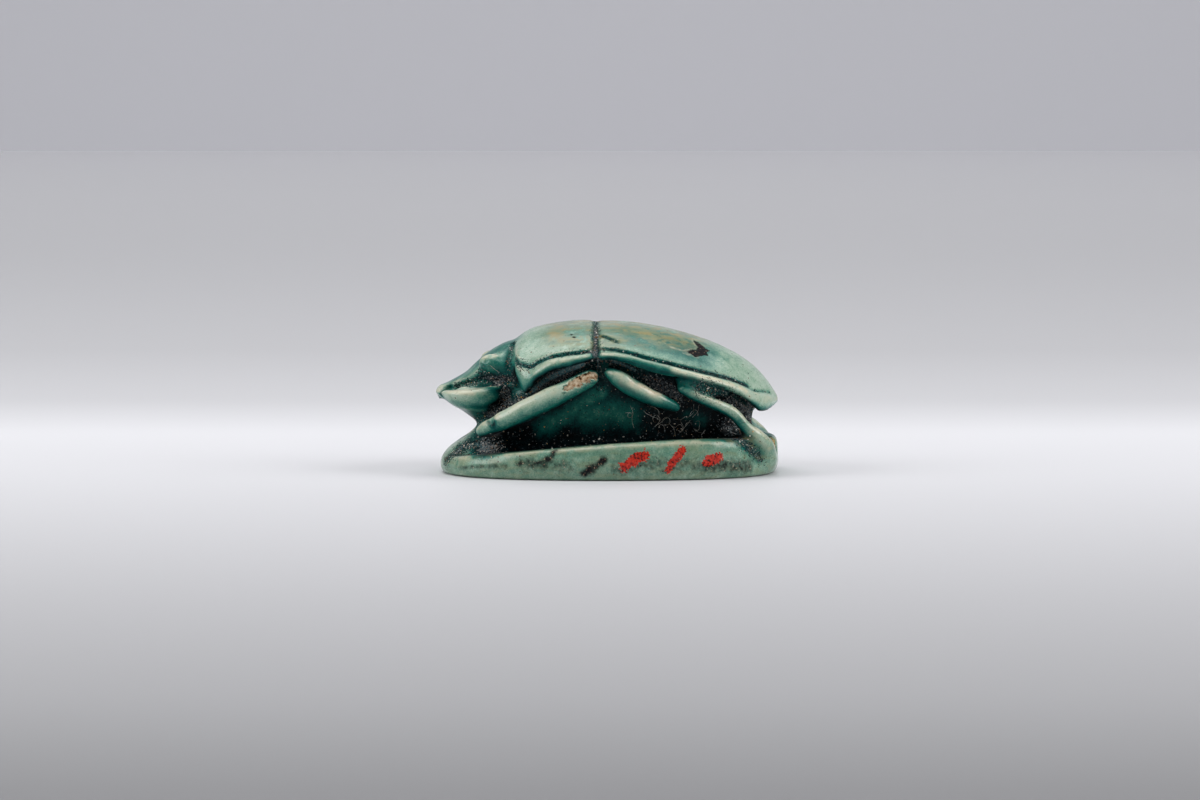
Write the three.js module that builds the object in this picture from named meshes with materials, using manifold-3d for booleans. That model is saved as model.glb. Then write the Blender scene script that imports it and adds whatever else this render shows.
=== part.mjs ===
// A scarab amulet: a beetle on an oval base, carved from one small piece of steatite and glazed.
// The head points to -X, +Z is up, and the flat underside lies on z = 0. All sizes are millimetres.
//
// The solid is put together the way a carver blocks it out: an oval base, a waist that stands on it,
// the thorax and the wing cases with the rim round them, the head, and three legs a side that bridge
// the undercut. Furrows are then cut into it, and a string hole is drilled from end to end.
import * as THREE from "three";
import { mergeVertices } from "three/addons/utils/BufferGeometryUtils.js";
import Module from "manifold-3d";

const wasm = await Module();
wasm.setup();

// ---------------------------------------------------------------- driving dimensions

const base = { middle: 0.1, halfLength: 9.9, halfWidth: 7, roundness: 2.35 };
const ledge = { highest: 2.34, highestAt: 5.3, fall: 0.0175, power: 1.6 };
const thoraxFront = -5.3;
const divisionAt = -0.62; // where the thorax plate meets the wing cases
const tailTip = 9.93;
const headTip = -10;
const furrowRadius = { division: 0.19, shoulder: 0.12, hindFoot: 0.46, frontFoot: 0.14, tooth: 0.1 };
const furrowPath = {
  hindFoot: [[7.0, 5.7, 2.85], [7.8, 5.2, 2.35], [8.4, 4.68, 1.75], [8.85, 4.2, 1.05], [9.02, 4.0, 0.5]],
  frontFoot: [[-8.6, 3.9, 1.15], [-8.8, 3.75, 0.6], [-8.8, 3.75, 0.3]],
  tooth: [[-9.3, 0.75, 5.0], [-9.6, 0.72, 4.75], [-9.8, 0.66, 4.2]],
  divisionFlank: [[divisionAt, 6.05, 6.95], [divisionAt, 6.0, 6.3]],
};
const medianFurrow = { halfWidth: 0.12, depth: 0.12 };
const stringHole = { radius: 0.75, height: 2.72, from: -8.6, to: 9.6 };
const SIDES = [-1, 1];

// The crest of the back along the middle plane, and its edge: half its width and its height.
const crest = profile([
  [-5.3, 7.72], [-5.06, 7.92], [-4.77, 8.19], [-4.19, 8.45], [-3.03, 8.68], [-1.57, 8.84],
  [-0.41, 8.82], [0.75, 8.78], [1.91, 8.67], [3.07, 8.48], [4.24, 8.2], [5.4, 7.84], [6.56, 7.4],
  [7.72, 6.8], [8.3, 6.41], [8.88, 5.89], [9.47, 5.19], [9.76, 4.7], [9.93, 4.35],
]);
const edgeWidth = profile([
  [-5.3, 4.0], [-4.04, 4.75], [-2.7, 5.15], [-0.8, 5.3], [1.4, 5.3], [3.9, 5.05], [5.3, 4.68],
  [6.7, 4.05], [7.7, 3.4], [8.5, 2.65], [9.2, 1.75], [9.6, 1.05], [9.93, 0.25],
]);
const edgeHeight = profile([
  [-5.3, 6.8], [-5.0, 6.55], [-4.36, 6.36], [-3.9, 6.72], [-3.32, 7.0], [-2.16, 7.22], [-0.7, 7.38],
  [0.17, 7.42], [1.33, 7.24], [2.49, 6.89], [4.24, 6.44], [5.4, 6.12], [6.56, 5.82], [7.72, 5.4],
  [8.42, 5.0], [9.47, 4.62], [9.93, 4.3],
]);

// The rim outside that edge: half its width, its top and its underside.
const rimWidth = profile([
  [-5.3, 4.3], [-4.7, 4.95], [-4.04, 5.45], [-2.7, 5.9], [-0.8, 6.1], [1.4, 6.15], [3.9, 5.92],
  [5.5, 5.45], [7.0, 4.72], [8.2, 3.8], [9.1, 2.7], [9.5, 1.95], [9.78, 1.15], [9.93, 0.5],
]);
const rimTop = profile([
  [-5.3, 6.7], [-4.7, 6.42], [-4.36, 6.26], [-3.9, 6.58], [-3.32, 6.86], [-2.16, 7.1], [-0.7, 7.28],
  [0.17, 7.32], [1.33, 7.12], [2.49, 6.77], [4.24, 6.33], [5.4, 6.02], [6.56, 5.71], [7.72, 5.28],
  [8.42, 4.9], [9.47, 4.55], [9.93, 4.28],
]);
const rimUnderside = profile([
  [-5.3, 6.1], [-5.05, 5.4], [-4.8, 4.86], [-4.45, 4.84], [-4.2, 5.35], [-3.9, 5.8], [-3.3, 6.15],
  [-2.2, 6.48], [-0.7, 6.78], [0.75, 6.85], [1.9, 6.5], [3.07, 6.16], [4.24, 5.82], [5.4, 5.5],
  [6.56, 5.13], [7.14, 4.9], [7.72, 4.58], [8.2, 4.15], [8.85, 3.6], [9.4, 3.72], [9.93, 3.98],
]);

// [height, front, rear, half width] of the undercut waist between the base and the back.
const waistLevels = [
  [0.6, -9.6, 9.9, 5.2], [1.15, -9.5, 9.93, 4.7], [1.5, -9.15, 9.84, 4.4], [1.8, -8.76, 9.64, 4.3],
  [2.2, -8.15, 9.3, 4.1], [2.5, -7.82, 8.8, 4.05], [2.8, -7.64, 8.48, 4.0], [3.2, -7.55, 8.48, 4.0],
  [4.1, -6.9, 8.6, 4.15], [4.9, -5.9, 8.1, 4.35], [5.7, -5.3, 7.0, 4.5], [6.5, -5.1, 5.2, 4.6],
  [7.2, -4.6, 3.6, 4.3],
];
const waistRoundness = 2.5;

// [x, y, z, radius] stops down each leg, on the +Y side.
const legs = {
  front: [
    [-0.95, 5.6, 5.8, 0.52], [-2.4, 5.65, 5.04, 0.58], [-3.85, 5.4, 4.32, 0.6],
    [-5.25, 4.95, 3.62, 0.6], [-6.4, 4.45, 3.08, 0.54], [-7.15, 4.0, 2.65, 0.42],
  ],
  middle: [
    [0.1, 5.5, 6.1, 0.32], [0.65, 5.6, 5.72, 0.5], [1.35, 5.6, 5.28, 0.53], [2.2, 5.5, 4.84, 0.5],
    [3.1, 5.2, 4.41, 0.38], [3.95, 4.95, 4.07, 0.22],
  ],
  hind: [
    [4.3, 5.25, 5.12, 0.3], [5.3, 5.05, 4.62, 0.34], [6.4, 4.7, 4.15, 0.36], [7.25, 4.4, 3.7, 0.36],
    [7.62, 4.3, 3.28, 0.34], [8.02, 4.2, 2.8, 0.36], [8.42, 4.0, 2.48, 0.44], [8.88, 3.55, 2.0, 0.52],
    [9.25, 2.85, 1.42, 0.58], [9.35, 2.2, 0.85, 0.62],
  ],
  thigh: [[4.4, 4.75, 5.7, 0.55], [5.3, 4.55, 5.34, 0.5], [6.1, 4.2, 5.02, 0.36], [6.8, 3.9, 4.75, 0.2]],
};
const anklePit = { at: [-6.68, 4.6, 3.5], size: [0.2, 0.5, 0.42] };

// The head: the ridge of its plate, half the plate's width, and the fan of the jaw below it.
const headCrest = profile([
  [-9.9, 4.75], [-9.42, 5.12], [-8.84, 5.43], [-8.26, 5.75], [-7.97, 5.98], [-7.39, 6.59],
  [-6.8, 7.05], [-6.22, 7.43], [-5.64, 7.67], [-4.9, 7.74],
]);
const headHalfWidth = profile([
  [-9.8, 0.5], [-9.2, 0.85], [-8.2, 1.35], [-7.2, 2.05], [-6.2, 2.6], [-5.0, 3.1],
]);
const eye = { at: [-6.5, 1.9, 6.32], size: [0.95, 0.66, 0.66], lean: 0.2 };
const neck = { at: [-5.3, 0, 5.4], size: [1.3, 2.5, 1.9] };
const fan = {
  rear: -5.2,
  roundness: 2.3,
  // [depth below the lip, front, half width]
  levels: [
    [2.25, -7.6, 1.4], [1.8, -7.8, 1.9], [1.3, -8.4, 2.5], [0.85, -9.15, 2.9], [0.45, -9.72, 3.12],
    [0.18, headTip, 3.2], [0.03, -9.8, 3.1], [0, -9.6, 2.9], [0.2, -9.2, 2.5],
  ],
  lip: (x) => 4.86 + 0.11 * Math.max(0, x + 8.2) ** 1.5,
};

// ---------------------------------------------------------------- helpers

// A smooth function through [x, value] pairs.
function profile(pairs) {
  const last = pairs.length - 1;
  const slope = (k) => {
    const [a, b] = [pairs[Math.max(k - 1, 0)], pairs[Math.min(k + 1, last)]];
    return (b[1] - a[1]) / (b[0] - a[0]);
  };
  return (x) => {
    if (x <= pairs[0][0]) return pairs[0][1];
    if (x >= pairs[last][0]) return pairs[last][1];
    const i = pairs.findIndex(([at]) => at > x) - 1;
    const [[x0, v0], [x1, v1]] = [pairs[i], pairs[i + 1]];
    const [span, t] = [x1 - x0, (x - x0) / (x1 - x0)];
    const rise = t * t * (3 - 2 * t);
    const bend = slope(i) * span * t * (1 - t) ** 2 - slope(i + 1) * span * t * t * (1 - t);
    return v0 + (v1 - v0) * rise + bend;
  };
}

// A point on a unit oval, which is round at a roundness of 2 and squarer above it.
function oval(turn, roundness) {
  return [Math.cos(turn), Math.sin(turn)].map((v) => Math.sign(v) * Math.abs(v) ** (2 / roundness));
}

// Evenly spaced numbers from the first to the last, both included.
function spread(from, to, count) {
  return Array.from({ length: count }, (_, i) => from + ((to - from) * i) / (count - 1));
}

// The triangles that shut a flat ring, wound the way the ring runs.
function lid(ring) {
  const facing = new THREE.Vector3();
  ring.forEach((p, i) => facing.add(new THREE.Vector3().crossVectors(p, ring[(i + 1) % ring.length])));
  const turn = new THREE.Quaternion().setFromUnitVectors(
    facing.normalize(),
    new THREE.Vector3(0, 0, 1),
  );
  const flat = ring.map((p) => p.clone().applyQuaternion(turn));
  return THREE.ShapeUtils.triangulateShape(flat.map((p) => new THREE.Vector2(p.x, p.y)), []);
}

// A closed geometry through flat rings of points, each with the same count, shut at both ends.
function loft(rings) {
  const count = rings[0].length;
  const points = rings.flat();
  const faces = [];
  for (let r = 0; r + 1 < rings.length; r++)
    for (let i = 0; i < count; i++) {
      const [a, b] = [r * count + i, r * count + ((i + 1) % count)];
      faces.push(a, b, b + count, a, b + count, a + count);
    }
  faces.push(...lid(rings[0]).flatMap(([a, b, c]) => [a, c, b]));
  faces.push(...lid(rings.at(-1)).flat().map((i) => i + points.length - count));
  const geometry = new THREE.BufferGeometry().setFromPoints(points);
  geometry.setIndex(faces);
  return geometry;
}

// A manifold-3d solid of a closed geometry, turned outwards if it came inside out.
function solid(geometry) {
  geometry.deleteAttribute("normal");
  geometry.deleteAttribute("uv");
  const merged = mergeVertices(geometry, 1e-5);
  const make = (triVerts) =>
    new wasm.Manifold(
      new wasm.Mesh({ numProp: 3, vertProperties: merged.attributes.position.array, triVerts }),
    );
  const triVerts = new Uint32Array(merged.index.array);
  const made = make(triVerts);
  return made.volume() > 0 ? made : make(triVerts.reverse());
}

// A solid lofted through half sections in planes of constant x, mirrored about the middle plane.
// Each half section is a list of [y, z] from the middle at the top round to the middle below.
function mirrored(stations, halfSection) {
  const rings = stations.map((x) => {
    const half = halfSection(x);
    const far = half.slice(1, -1).toReversed();
    const whole = [...half, ...far.map(([y, z]) => [-y, z])];
    return whole.map(([y, z]) => new THREE.Vector3(x, y, z));
  });
  return solid(loft(rings));
}

// A tapered bar along a curve through [x, y, z, radius] stops, with rounded ends. Its section is
// round towards the outside of the beetle and reaches further towards the middle, by its root.
function bar(stops, { sides = 9, steps = 9, root = 1 } = {}) {
  const path = new THREE.CatmullRomCurve3(stops.map(([x, y, z]) => new THREE.Vector3(x, y, z)));
  const last = stops.length - 1;
  const radiusAt = profile(stops.map((stop, i) => [i / last, stop[3]]));
  const up = new THREE.Vector3(0, 0, 1);
  const ring = (t, shrink, reach) => {
    const radius = radiusAt(t);
    const along = path.getTangent(t);
    const across = new THREE.Vector3().crossVectors(along, up).normalize();
    const over = new THREE.Vector3().crossVectors(across, along);
    const middle = path.getPoint(t);
    const outwards = Math.sign(across.y * middle.y) || 1;
    middle.addScaledVector(along, reach * radius);
    return Array.from({ length: sides }, (_, i) => {
      const turn = (2 * Math.PI * i) / sides;
      const [out, rise] = [Math.cos(turn), Math.sin(turn)];
      const width = out * outwards < 0 ? root : 1;
      return middle
        .clone()
        .addScaledVector(across, out * width * radius * shrink)
        .addScaledVector(over, rise * radius * shrink);
    });
  };
  const rounding = [72, 38].map((degrees) => THREE.MathUtils.degToRad(degrees));
  const rings = rounding.map((a) => ring(0, Math.cos(a), -Math.sin(a)));
  for (const t of spread(0, 1, steps + 1)) rings.push(ring(t, 1, 0));
  for (const a of rounding.toReversed()) rings.push(ring(1, Math.cos(a), Math.sin(a)));
  return solid(loft(rings));
}

// A furrow cutter: an even tube along a curve through [x, y, z] stops.
function furrow(radius, stops, steps) {
  const section = new THREE.Shape().absarc(0, 0, radius, 0, 2 * Math.PI);
  const extrudePath = new THREE.CatmullRomCurve3(stops.map((stop) => new THREE.Vector3(...stop)));
  return solid(new THREE.ExtrudeGeometry(section, { steps, extrudePath, curveSegments: 6 }));
}

// An egg-shaped lump, with its half sizes along X, Y and Z and its lean about Y.
function lump([x, y, z], [rx, ry, rz], lean = 0) {
  const geometry = new THREE.SphereGeometry(1, 12, 8).scale(rx, ry, rz);
  return solid(geometry.rotateY(lean).translate(x, y, z));
}

function join(solids) {
  return solids.reduce((all, next) => all.add(next));
}

// Carries [x, y, z, ...] stops to one side of the beetle.
function onSide(side, stops) {
  return stops.map(([x, y, ...rest]) => [x, side * y, ...rest]);
}

// ---------------------------------------------------------------- the base and the waist

// The base's ledge is low at the head and high towards the tail.
function ledgeHeight(x) {
  return ledge.highest - ledge.fall * Math.abs(ledge.highestAt - x) ** ledge.power;
}

// A ring of the base's oval, drawn in by an inset.
function baseRing(inset, height, count = 52) {
  return Array.from({ length: count }, (_, i) => {
    const [c, s] = oval((2 * Math.PI * i) / count, base.roundness);
    const x = base.middle + c * (base.halfLength - inset);
    return new THREE.Vector3(x, s * (base.halfWidth - inset), height(x));
  });
}

function makeBase() {
  const rings = [
    baseRing(0.42, () => 0),
    baseRing(0.12, () => 0.12),
    baseRing(0, () => 0.45),
    baseRing(0.03, (x) => ledgeHeight(x) * 0.7),
    baseRing(0.14, (x) => ledgeHeight(x) - 0.12),
    baseRing(0.4, ledgeHeight),
    baseRing(2, (x) => ledgeHeight(x) - 0.12),
  ];
  return solid(loft(rings));
}

function makeWaist(count = 32) {
  const rings = waistLevels.map(([z, front, rear, halfWidth]) =>
    Array.from({ length: count }, (_, i) => {
      const [c, s] = oval((2 * Math.PI * i) / count, waistRoundness);
      return new THREE.Vector3((front + rear) / 2 + (c * (rear - front)) / 2, s * halfWidth, z);
    }),
  );
  return solid(loft(rings));
}

// ---------------------------------------------------------------- the back

// The dome falls slowly at first from the crest, then faster towards the edge.
function backHeight(x, y) {
  const share = Math.min(Math.abs(y) / edgeWidth(x), 1);
  return crest(x) - (crest(x) - edgeHeight(x)) * share ** 2.1;
}

// Half a section of the back: the dome, the furrow at its edge, the rolled rim and its underside.
function backSection(x, cleft) {
  const [edge, rim, top, low] = [edgeWidth(x), rimWidth(x), rimTop(x), rimUnderside(x)];
  const shares = [0.25, 0.45, 0.63, 0.79, 0.91, 1];
  const dome = shares.map((share) => [edge * share, backHeight(x, edge * share)]);
  const ridge = cleft
    ? [[0, crest(x) - medianFurrow.depth], [Math.min(medianFurrow.halfWidth, edge * 0.2), crest(x)]]
    : [[0, crest(x)]];
  const [room, thick] = [rim - edge, top - low];
  const fade = Math.min(1, Math.max(0, (tailTip - 0.1 - x) / 0.5));
  return [
    ...ridge,
    ...dome,
    [edge + room * 0.14, (edgeHeight(x) + top) / 2 - 0.2 * fade - 0.02],
    [edge + room * 0.3, top],
    [edge + room * 0.7, top - thick * 0.1],
    [rim, top - thick * 0.45],
    [rim - room * 0.08, low + thick * 0.2],
    [rim - room * 0.5, low],
    [rim * 0.62, low + 0.12],
    [0, low + 0.1],
  ];
}

function makeBack() {
  const thorax = [...spread(thoraxFront, -4.1, 6), -3.3, -2.4, -1.5, divisionAt];
  const wings = [divisionAt, ...spread(0.4, 7.8, 10), 8.3, 8.75, 9.15, 9.5, 9.75, tailTip];
  return join([
    mirrored(thorax, (x) => backSection(x, false)),
    mirrored(wings, (x) => backSection(x, true)),
  ]);
}

// ---------------------------------------------------------------- the head

// The plate of the head: a low roof with a rounded ridge.
function makeHeadPlate() {
  return mirrored(spread(-9.8, -4.9, 10), (x) => {
    const [top, edge] = [headCrest(x), headHalfWidth(x)];
    const fall = (share) => 0.15 * (edge * share) ** 2;
    const roof = [0, 0.3, 0.6, 0.85, 1].map((share) => [edge * share, top - fall(share)]);
    const eaves = top - fall(1);
    return [...roof, [edge * 0.97, eaves - 0.3], [edge * 0.86, Math.min(4.8, eaves - 0.4)], [0, 4.2]];
  });
}

// The fan of the jaw: a shallow bowl whose lip rises towards the thorax.
function makeFan(count = 28) {
  const rings = fan.levels.map(([depth, front, halfWidth]) =>
    Array.from({ length: count }, (_, i) => {
      const [c, s] = oval((2 * Math.PI * i) / count, fan.roundness);
      const x = (front + fan.rear) / 2 + (c * (fan.rear - front)) / 2;
      return new THREE.Vector3(x, s * halfWidth, fan.lip(x) - depth);
    }),
  );
  return solid(loft(rings));
}

function makeHead() {
  const eyes = SIDES.map((side) => lump([eye.at[0], side * eye.at[1], eye.at[2]], eye.size, eye.lean));
  return join([makeHeadPlate(), makeFan(), lump(neck.at, neck.size), ...eyes]);
}

// ---------------------------------------------------------------- the legs

function makeLegs(side) {
  return join([
    bar(onSide(side, legs.front), { steps: 11, root: 3 }),
    bar(onSide(side, legs.middle), { steps: 7, root: 3.4 }),
    bar(onSide(side, legs.hind), { steps: 13, root: 3 }),
    bar(onSide(side, legs.thigh), { steps: 4, root: 1.5 }),
  ]);
}

// ---------------------------------------------------------------- the cuts

function makeCuts() {
  const onBack = (x, y) => [x, y, backHeight(x, y)];
  const dome = spread(-1, 1, 13).map((share) => onBack(divisionAt, share * edgeWidth(divisionAt)));
  const [nearFlank, farFlank] = SIDES.map((side) => onSide(side, furrowPath.divisionFlank));
  const division = [...nearFlank.toReversed(), ...dome, ...farFlank];
  const cuts = [furrow(furrowRadius.division, division, 26)];
  for (const side of SIDES) {
    const [pitX, pitY, pitZ] = anklePit.at;
    const shoulder = [onBack(-0.5, 3.66), onBack(0.6, 4.4)];
    cuts.push(
      furrow(furrowRadius.hindFoot, onSide(side, furrowPath.hindFoot), 8),
      furrow(furrowRadius.frontFoot, onSide(side, furrowPath.frontFoot), 3),
      furrow(furrowRadius.tooth, onSide(side, furrowPath.tooth), 3),
      furrow(furrowRadius.shoulder, onSide(side, shoulder), 2),
      lump([pitX, side * pitY, pitZ], anklePit.size),
    );
  }
  const { radius, height, from, to } = stringHole;
  const drill = new THREE.CylinderGeometry(radius, radius, to - from, 16)
    .rotateZ(Math.PI / 2)
    .translate((from + to) / 2, 0, height);
  return join([...cuts, solid(drill)]);
}

// ---------------------------------------------------------------- the whole

function makeScarab() {
  const blocked = join([makeBase(), makeWaist(), makeBack(), makeHead(), ...SIDES.map(makeLegs)]);
  const carved = blocked.subtract(makeCuts());
  const mesh = carved.getMesh();
  const geometry = new THREE.BufferGeometry()
    .setAttribute("position", new THREE.BufferAttribute(mesh.vertProperties, mesh.numProp))
    .setIndex(new THREE.BufferAttribute(mesh.triVerts, 1));
  geometry.computeVertexNormals();
  return geometry;
}

const glazedStone = new THREE.MeshStandardMaterial({ color: 0x6f9a86, roughness: 0.3, metalness: 0 });
const scarab = new THREE.Mesh(makeScarab(), glazedStone);
scarab.name = "scarab";

const amulet = new THREE.Group();
amulet.add(scarab);

export default amulet;
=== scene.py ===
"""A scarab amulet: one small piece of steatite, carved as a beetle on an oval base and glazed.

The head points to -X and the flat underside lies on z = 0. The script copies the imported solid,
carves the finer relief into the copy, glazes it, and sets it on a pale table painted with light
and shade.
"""

import math

import bpy
import numpy as np
from mathutils import Matrix, Vector, noise
from mathutils.bvhtree import BVHTree


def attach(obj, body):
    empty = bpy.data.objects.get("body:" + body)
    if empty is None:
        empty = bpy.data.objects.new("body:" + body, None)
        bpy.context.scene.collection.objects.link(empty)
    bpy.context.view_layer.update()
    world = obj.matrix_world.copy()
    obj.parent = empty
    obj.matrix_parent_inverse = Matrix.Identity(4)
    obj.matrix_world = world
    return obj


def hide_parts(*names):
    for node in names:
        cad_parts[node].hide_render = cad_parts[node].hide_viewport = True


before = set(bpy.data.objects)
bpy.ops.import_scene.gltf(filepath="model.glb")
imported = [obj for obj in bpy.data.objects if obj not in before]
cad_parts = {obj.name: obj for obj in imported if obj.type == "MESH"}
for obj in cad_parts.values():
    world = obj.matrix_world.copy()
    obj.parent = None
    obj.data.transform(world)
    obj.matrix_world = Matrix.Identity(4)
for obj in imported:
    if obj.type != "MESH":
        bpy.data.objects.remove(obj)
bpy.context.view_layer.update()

# ------------------------------------------------------------------ the camera
# A long lens looks straight at the amulet's side from a little above the table.
MM = 0.001
eye_level = math.radians(4)
towards_camera = Vector((0, -math.cos(eye_level), math.sin(eye_level)))
lens = 152
sensor = 36
view_width = 69.73 * MM
looked_at = Vector((-0.41, 0, 4.15)) * MM

camera_data = bpy.data.cameras.new("camera")
camera_data.lens = lens
camera_data.sensor_width = sensor
camera_data.clip_start = 0.01
camera_data.clip_end = 20
camera = bpy.data.objects.new("camera", camera_data)
bpy.context.scene.collection.objects.link(camera)
camera.location = looked_at + towards_camera * (view_width * lens / sensor)
camera.rotation_euler = (-towards_camera).to_track_quat("-Z", "Y").to_euler()
bpy.context.scene.camera = camera
bpy.context.scene.view_settings.view_transform = "Standard"

# ------------------------------------------------------------------ the carved stone
# The whole beetle is one piece of steatite. The solid is blocked out already, so its copy is
# worked over here as the carver would: the planes are rubbed smooth and the lines are cut in.
# Lengths in this section are millimetres until the copy goes back to its place in metres.
stone = bpy.data.objects.new("carved_scarab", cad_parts["scarab"].data.copy())
bpy.context.scene.collection.objects.link(stone)
bpy.ops.object.select_all(action="DESELECT")
stone.select_set(True)
bpy.context.view_layer.objects.active = stone
bpy.ops.object.mode_set(mode="EDIT")
bpy.ops.mesh.select_all(action="SELECT")
bpy.ops.mesh.remove_doubles(threshold=1e-7)
bpy.ops.object.mode_set(mode="OBJECT")
stone.data.transform(Matrix.Scale(1 / MM, 4))
stone.data.materials.clear()
even = stone.modifiers.new("even grain", "REMESH")
even.mode = "VOXEL"
even.voxel_size = 0.1
bpy.ops.object.modifier_apply(modifier=even.name)


def survey():
    """The stone's points, and the two ends of each edge between them."""
    mesh = stone.data
    places = np.empty(len(mesh.vertices) * 3)
    mesh.vertices.foreach_get("co", places)
    ends = np.empty(len(mesh.edges) * 2, int)
    mesh.edges.foreach_get("vertices", ends)
    return places.reshape(-1, 3), ends.reshape(-1, 2)


def rubbed(values, rounds, share=0.5):
    """Values after so many rounds of drawing each towards the mean of its neighbours."""
    here, there = edges.T
    size = len(points)
    touching = np.bincount(edges.ravel(), minlength=size)
    columns = values.reshape(size, -1).T.copy()
    for _ in range(rounds):
        for column in columns:
            total = np.bincount(here, column[there], size) + np.bincount(there, column[here], size)
            column += (total / touching - column) * share
    return columns.T.reshape(values.shape)


def facings():
    """Each point's outward direction on the stone as it now stands."""
    stone.data.vertices.foreach_set("co", points.ravel())
    stone.data.update()
    outward = np.empty(len(points) * 3)
    stone.data.vertices.foreach_get("normal", outward)
    return outward.reshape(-1, 3)


def ease(value, low, high):
    """A smooth step from 0 at low to 1 at high."""
    t = np.clip((value - low) / (high - low), 0, 1)
    return t * t * (3 - 2 * t)


def fading(gap, width):
    """1 where the gap is none, fading to 0 over about that width."""
    return np.exp(-((gap / width) ** 2))


def rough(size, seed):
    """Smooth noise of about -1 to 1 at each point, its lumps about so many millimetres apart."""
    shift = Vector((seed * 7.3, seed * 3.1, seed * 5.7))
    return np.array([noise.noise(Vector(p) / size + shift) for p in points])


def line(stops, width, flanks="both"):
    """How near each point is to a line through the stops, fading from 1 to 0 over about that
    width, and how far along the line it is. Stops are given on the +Y side for both flanks."""
    stops = np.array(stops, float)
    where = points.copy()
    if flanks == "both":
        where[:, 1] = abs(where[:, 1])
    box = (where > stops.min(0) - 3 * width) & (where < stops.max(0) + 3 * width)
    near = np.flatnonzero(box.all(1))
    where = where[near]
    steps = np.linalg.norm(np.diff(stops, axis=0), axis=1)
    start = np.concatenate([[0], np.cumsum(steps)])
    gap, along = np.full(len(near), 1e9), np.zeros(len(near))
    for i, (a, b) in enumerate(zip(stops[:-1], stops[1:])):
        t = np.clip((where - a) @ (b - a) / steps[i] ** 2, 0, 1)
        off = np.linalg.norm(where - a - t[:, None] * (b - a), axis=1)
        nearer = off < gap
        gap[nearer] = off[nearer]
        along[nearer] = (start[i] + t[nearer] * steps[i]) / start[-1]
    touch, place = np.zeros(len(points)), np.zeros(len(points))
    touch[near] = fading(gap, width)
    place[near] = along
    return touch, place


# The plates of the back and the edge of the base are rubbed much smoother than the rest.
points, edges = survey()
points = rubbed(points, 6)
facing = facings()
x, y, z = points.T
base_edge_top = 1.75
edge_of_back = [
    (-5.3, 4.0), (-4.3, 4.63), (-3.3, 5.04), (-2.1, 5.24), (-0.8, 5.3), (1.4, 5.3), (3.0, 5.19),
    (4.15, 5.01), (5.3, 4.69), (6.46, 4.18), (7.62, 3.47), (8.5, 2.65), (9.2, 1.75), (9.93, 0.3),
]
room = np.interp(x, *zip(*edge_of_back)) - abs(y)
on_back = ease(room, 0.2, 0.7) * ease(facing[:, 2], 0.2, 0.4) * ease(z, 4.4, 4.7) * ease(x, -5.4, -5.1)
on_base = ease(base_edge_top - z, 0, 0.3) * (1 - ease(abs(facing[:, 2]), 0.5, 0.8))
broad = rubbed(np.maximum(on_back, on_base), 3)
points = rubbed(points, 10, 0.5 * np.maximum(broad, 0.45))
points = rubbed(points, 60, 0.5 * broad)
facing = facings()

# Lines of the carving, from the head towards the tail, on the +Y flank and mirrored on the other.
thorax_edge = [
    (-0.98, 5.33, 7.26), (-2.12, 5.24, 7.17), (-2.69, 5.15, 7.08), (-3.27, 5.04, 6.96),
    (-3.84, 4.78, 6.72), (-4.3, 4.63, 6.36), (-4.7, 4.38, 6.41), (-5.11, 4.12, 6.62), (-5.48, 3.3, 6.8),
]
wing_edge = [
    (-0.41, 5.14, 7.48), (0.16, 5.25, 7.43), (0.73, 5.31, 7.35), (1.87, 5.29, 7.03), (3.01, 5.19, 6.71),
    (4.15, 5.01, 6.42), (5.3, 4.69, 6.11), (6.46, 4.18, 5.82), (7.62, 3.47, 5.37), (8.04, 3.12, 5.17),
]
tail_line = [(8.32, 3.1, 4.94), (8.81, 2.3, 4.8), (9.42, 1.33, 4.68)]
shoulder = [(-0.41, 3.58, 8.14), (0.1, 3.94, 7.96), (0.62, 4.49, 7.79)]
over_eye = [(-7.1, 2.5, 6.5), (-6.81, 2.25, 6.87), (-6.48, 1.95, 7.0), (-6.11, 1.7, 7.12)]
cheek = [
    (-8.75, 1.04, 5.03), (-8.16, 1.31, 5.19), (-7.34, 1.85, 5.45), (-6.3, 2.3, 5.36), (-5.4, 2.7, 5.45),
]
tooth = [
    (-8.95, 0.7, 4.95), (-9.2, 0.85, 4.95), (-9.42, 1.2, 4.9), (-9.55, 1.5, 4.78), (-9.6, 1.6, 4.5),
    (-9.6, 1.5, 4.3),
]
nape = [(-5.39, 1.04, 7.53), (-5.55, 1.99, 7.06), (-5.68, 2.81, 6.42), (-5.6, 3.0, 5.6)]
crease = [(-8.65, 3.7, 0.95), (-8.65, 3.72, 0.3)]
ankle = [(-6.75, 4.6, 3.3), (-6.55, 4.9, 3.1), (-6.5, 5.0, 2.85)]
toe = [(-7.63, 1.6, 2.5), (-7.66, 2.6, 2.1), (-7.6, 3.4, 1.9)]
nose = [(-9.7, -1.0, 4.95), (-9.7, 0.0, 5.0), (-9.7, 0.9, 4.95), (-9.5, 1.5, 4.9)]
lip_face = [
    (-9.2, 1.0, 4.5), (-8.8, 1.5, 4.45), (-8.0, 2.4, 4.4), (-7.1, 2.75, 4.35), (-6.2, 2.8, 4.4),
    (-5.6, 2.7, 4.5),
]
lip_top = [
    (-9.3, 1.1, 4.95), (-9.0, 1.5, 5.0), (-8.0, 2.25, 5.02), (-7.1, 2.55, 5.08), (-6.2, 2.75, 5.2),
    (-5.7, 2.7, 5.25),
]
shank = [(-6.0, 4.95, 3.6), (-5.0, 5.25, 4.15), (-4.0, 5.5, 4.65), (-3.0, 5.7, 5.15), (-2.2, 5.8, 5.5)]
knee = [(2.4, 5.75, 4.9), (3.2, 5.45, 4.5), (3.9, 5.1, 4.15), (4.5, 4.8, 3.9)]
hip = [(-0.3, 5.75, 6.2), (0.3, 5.95, 6.1), (0.9, 5.95, 5.85), (1.5, 5.95, 5.5)]
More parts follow.
